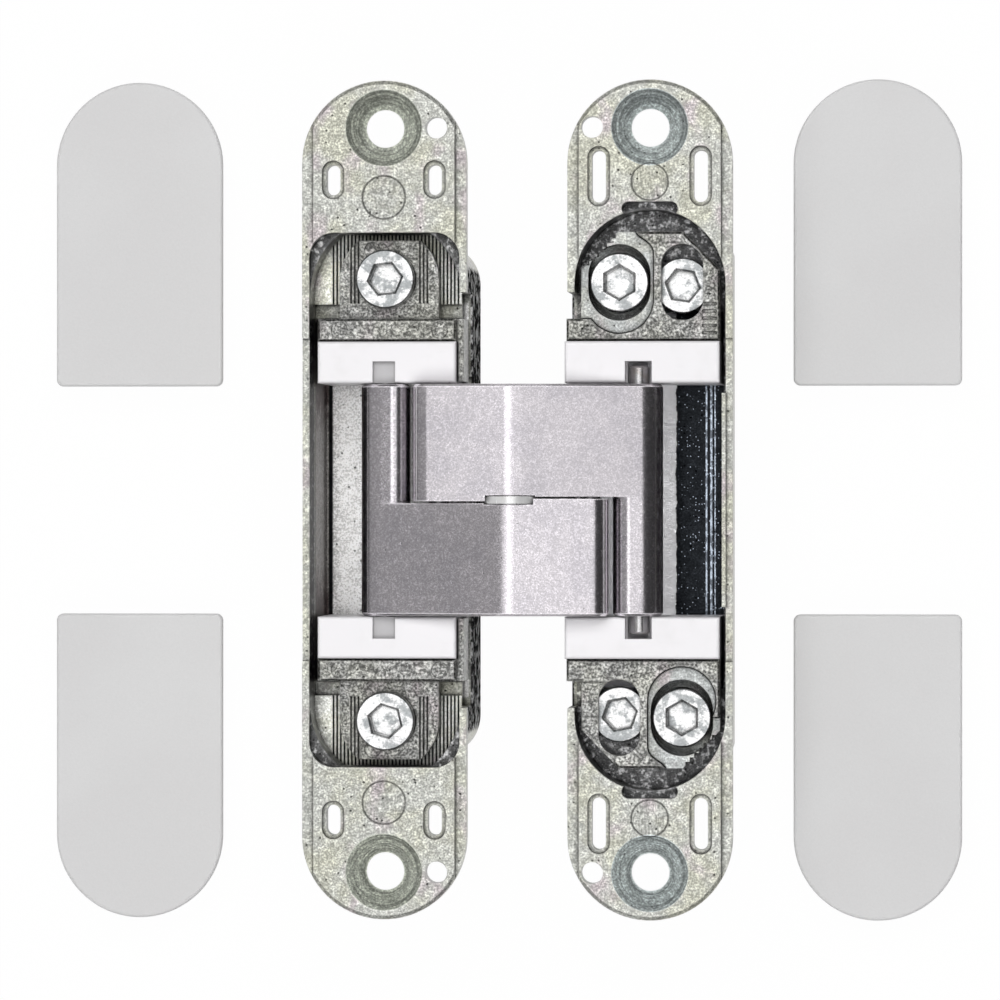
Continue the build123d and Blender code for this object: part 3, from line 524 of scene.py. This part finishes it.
# Satin cover caps
coverLook = {
    "grey": rgb(0.69, 0.685, 0.687), "pale": rgb(0.71, 0.708, 0.71),
    "cloudPerMm": 0.05, "paleCloud": (0.35, 0.7),
    "grainPerMm": 2.8, "grainLight": 0.09, "grainRough": 0.2, "grainDepth": 0.012,
    "finePerMm": 7.0, "fineLight": 0.06, "fineDepth": 0.006, "edgeRadius": 0.15, "edgeHighlight": 0.06,
    "specular": 0.35, "roughness": 0.5,
}


def satinCover(name, look):
    material, shader, place = startMaterial(name, {"Metallic": 0.0, "Specular IOR Level": look["specular"]})
    cloud = noise(place, look["cloudPerMm"])
    grain = noise(place, look["grainPerMm"], detail=3.0, roughness=0.7)
    fine = noise(place, look["finePerMm"], roughness=0.6)
    normal, edge = softEdge(place, look["edgeRadius"])
    colour = cloud.rise(*look["paleCloud"]).tint(look["grey"], look["pale"])
    light = 1 + (grain - 0.5) * look["grainLight"] + (fine - 0.5) * look["fineLight"]
    feed(shader, {
        # painted highlight along edges
        "Base Color": (light + edge * look["edgeHighlight"]).shade(colour),
        "Roughness": look["roughness"] + (grain - 0.5) * look["grainRough"],
        "Normal": bump(grain * look["grainDepth"] + fine * look["fineDepth"], normal),
    })
    return material


finishes = {  # by the material slots of the record
    "zinc_casting": zincCasting("castZinc", carriageLook),
    "zinc_plate": zincCasting("platedZinc", plateLook),
    "zinc_screw": zincScrew("brightZinc", screwLook),
    "bright_steel": groundSteel("groundSteel", steelLook),
    "satin_arm": satinArm("satinArm", armLook),
    "white_nylon": whiteNylon("whiteNylon", nylonLook),
    "satin_cover": satinCover("satinCover", coverLook),
}
ownFinish = {  # pieces that differ from the rest of their slot
    "frame_housing": zincHousing("frameZinc", casting, frameLeaf, shadedFrameWell),
    "door_housing": zincHousing("doorZinc", casting, doorLeaf, brownWell),
    "centre_washer": groundSteel("washerSteel", washerLook),
}
for part in frame["record"]["subparts"]:
    piece = nodes[part["node"]]
    piece.data.materials.clear()
    piece.data.materials.append(ownFinish.get(part["node"], finishes[part["material_slot"]]))

# Floor, white to the camera, with a painted shadow below the arms as they lie at rest, with its inset in mm
floorLook = {
    "size": 6.0, "colour": rgb(0.93, 0.93, 0.93), "shadow": rgb(0.1, 0.1, 0.1), "roughness": 0.9,
    "lift": 0.98, "over": ("upper_arm", "lower_arm"), "inset": 4.0,
}


def belowPieces(place, look):  # mask of the painted shadow on the floor, from the boxes round the pieces at rest
    pieces = [nodes[name] for name in look["over"]]
    corners = [Vector(corner) / mm for piece in pieces for corner in piece.bound_box]
    mask = 1
    for axis, wire in enumerate(axes(place)[:2]):
        low = min(corner[axis] for corner in corners)
        high = max(corner[axis] for corner in corners)
        reach = (high - low) / 2
        mask = mask * (wire - (low + high) / 2).absolute().rise(reach, reach - look["inset"])
    return mask


def seenDirectly(place):  # by the camera, in a reflection or through glass
    camera = place.make("ShaderNodeLightPath", out="Is Camera Ray")
    mirrored = place.maths("MAXIMUM", camera, camera.also("Is Glossy Ray"))
    return place.maths("MAXIMUM", mirrored, camera.also("Is Transmission Ray"))


def makeFloor(look):
    mesh = bpy.data.meshes.new("floor")
    sheet = bmesh.new()
    level = Matrix.Translation((0, 0, cadBox[0].z))
    bmesh.ops.create_grid(sheet, x_segments=1, y_segments=1, size=look["size"] / 2, matrix=level)
    sheet.to_mesh(mesh)
    sheet.free()
    floor = bpy.data.objects.new("floor", mesh)
    bpy.context.scene.collection.objects.link(floor)
    material, shader, place = startMaterial("paleFloor", {"Roughness": look["roughness"]})
    below = belowPieces(place, look)
    # painted shadow under the arms
    feed(shader, {"Base Color": below.tint(look["colour"], look["shadow"])})
    white = place.make("ShaderNodeEmission", inputs={"Color": rgb(1, 1, 1), "Strength": 1.0})
    mixIn(material, shader, white, seenDirectly(place) * look["lift"] * (1 - below))
    mesh.materials.append(material)


makeFloor(floorLook)
print("floor laid")

# Camera
cameraView = {
    "target": Vector((-21.3, 0, 3.2)) * mm, "eye": Vector((44.2, 0, 903.2)) * mm,
    "viewWidth": 142.2 * mm, "sensor": 36.0, "clip": (0.05, 20.0),
}


def facing(at, target):  # looks from at to target, with the picture's width across the leaves
    back = (at - target).normalized()
    right = Vector((0, 1, 0)).cross(back).normalized()
    turn = Matrix((right, back.cross(right), back)).transposed().to_4x4()
    return Matrix.Translation(at) @ turn


def makeCamera(look):
    data = bpy.data.cameras.new("camera")
    camera = bpy.data.objects.new("camera", data)
    bpy.context.scene.collection.objects.link(camera)
    camera.matrix_world = facing(look["eye"], look["target"])
    data.sensor_width = look["sensor"]
    data.lens = look["sensor"] * (look["eye"] - look["target"]).length / look["viewWidth"]
    data.clip_start, data.clip_end = look["clip"]
    bpy.context.scene.camera = camera


makeCamera(cameraView)

# Soft studio light: a wide lamp overhead with a bright strip in it, one at the left and one past each end
lamps = {
    "overhead": {"at": (0.055, 0.0, 1.3), "size": (0.91, 0.7), "power": 1.85},
    "strip": {"at": (-0.125, 0.0, 1.28), "size": (0.1, 0.7), "power": 0.36},
    "left": {"at": (-1.016, 0.0, 0.836), "size": (1.5, 0.7), "power": 1.0},
    "top": {"at": (-0.02, 0.7, 1.12), "size": (1.3, 0.7), "power": 10.0},
    "bottom": {"at": (-0.02, -0.7, 1.12), "size": (1.3, 0.7), "power": 8.4},
}
worldStrength = 0.05


def makeLamps(looks):
    for name, look in looks.items():
        data = bpy.data.lights.new(name, "AREA")
        data.shape = "RECTANGLE"
        data.size, data.size_y = look["size"]
        data.energy = look["power"]
        lamp = bpy.data.objects.new(name, data)
        bpy.context.scene.collection.objects.link(lamp)
        lamp.matrix_world = facing(Vector(look["at"]), Vector((0, 0, 0)))
        lamp.visible_camera = False


def makeWorld(strength):
    world = bpy.data.worlds.new("studio")
    world.use_nodes = True
    background = world.node_tree.nodes["Background"]
    background.inputs["Color"].default_value = rgb(1, 1, 1)
    background.inputs["Strength"].default_value = strength
    bpy.context.scene.world = world


makeLamps(lamps)
makeWorld(worldStrength)
bpy.context.scene.view_settings.view_transform = "Standard"
print("camera and light set")
